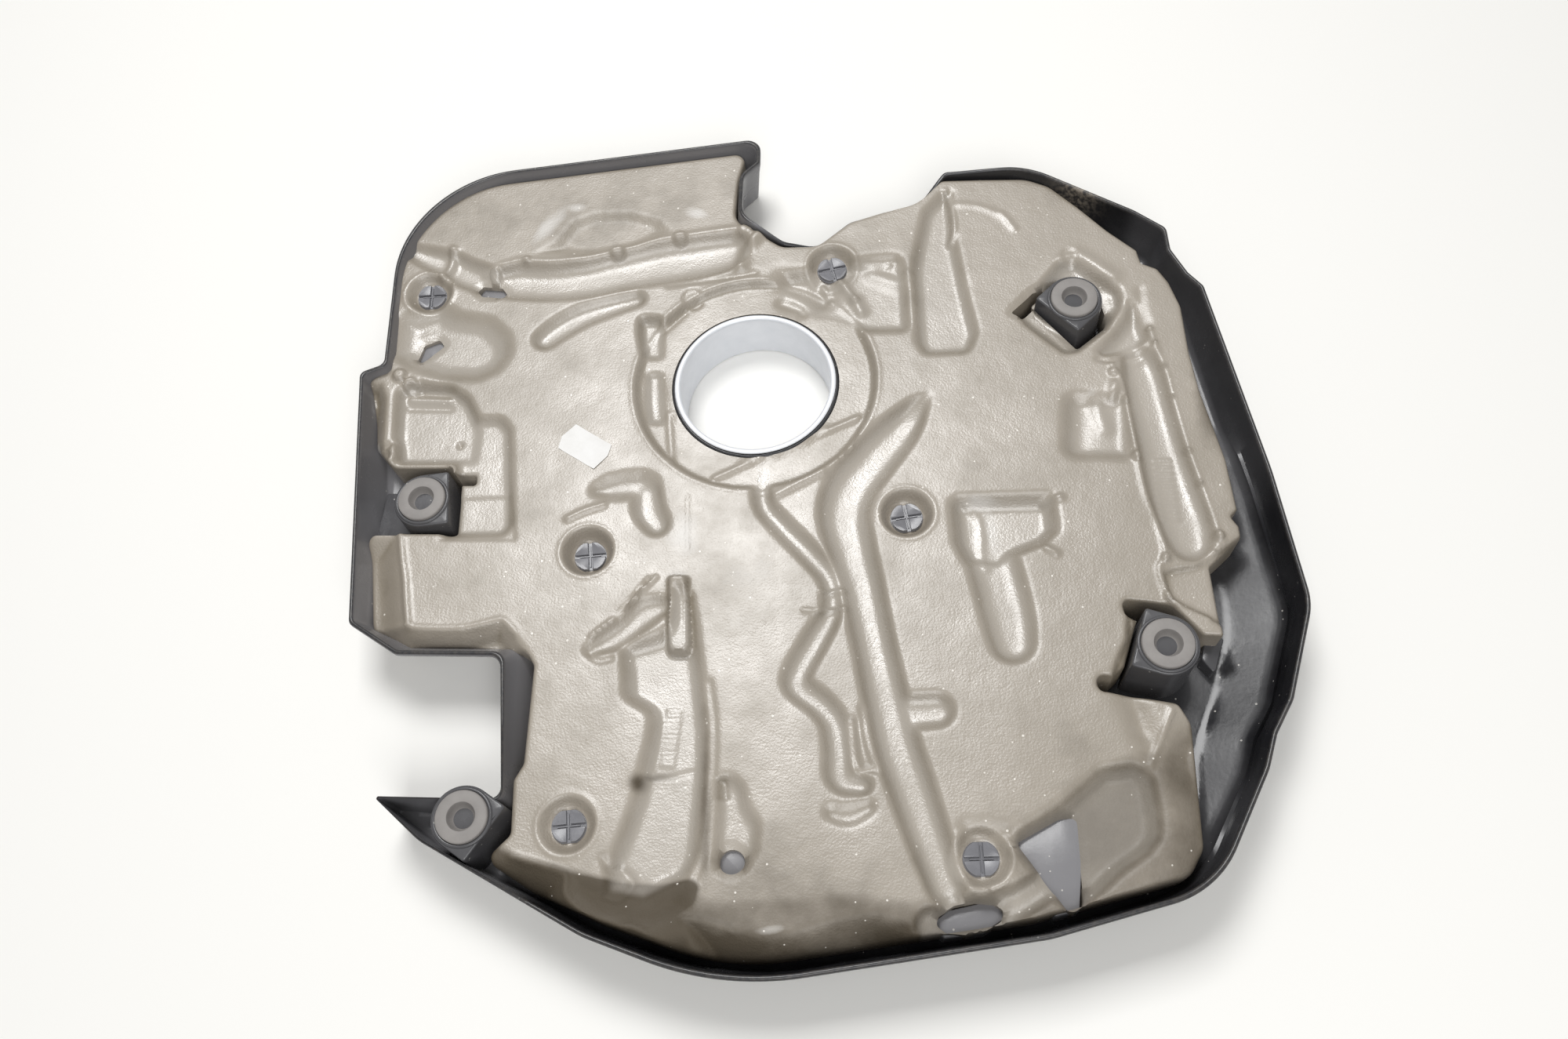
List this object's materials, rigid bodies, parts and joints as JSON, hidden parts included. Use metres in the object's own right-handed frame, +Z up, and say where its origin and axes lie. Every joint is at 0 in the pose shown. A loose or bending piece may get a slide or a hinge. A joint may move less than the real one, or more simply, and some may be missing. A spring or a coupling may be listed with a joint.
{
  "type": "engine cover",
  "caption": "Moulded engine cover lying underside up, with mount towers, rubber ball mounts, a filler opening and a channelled foam liner.",
  "frame": {"origin": "middle of the outline, at the lowest point of the outer face that the cover rests on", "axes": "+Z up out of the open underside, +X across the cover, +Y towards the edge with the curved notch"},
  "size_m": [0.5007, 0.4788, 0.0445],
  "materials": {
    "tray": "moulded plastic, glossy black",
    "foam": "moulded foam with a skin, warm pale grey",
    "collar": "silver painted plastic",
    "rubber": "matt grey rubber",
    "clip": "moulded plastic, dark",
    "label": "white paper"
  },
  "bodies": {
    "root": {"shell": "tray", "foam_liner": "foam", "filler_collar": "collar", "rubber_mount_right": "rubber", "rubber_mount_top": "rubber", "rubber_mount_left": "rubber", "rubber_mount_corner": "rubber", "foam_clip_1": "clip", "foam_clip_2": "clip", "foam_clip_3": "clip", "foam_clip_4": "clip", "foam_clip_5": "clip", "foam_clip_6": "clip", "paper_label": "label"}
  },
  "joints": []
}
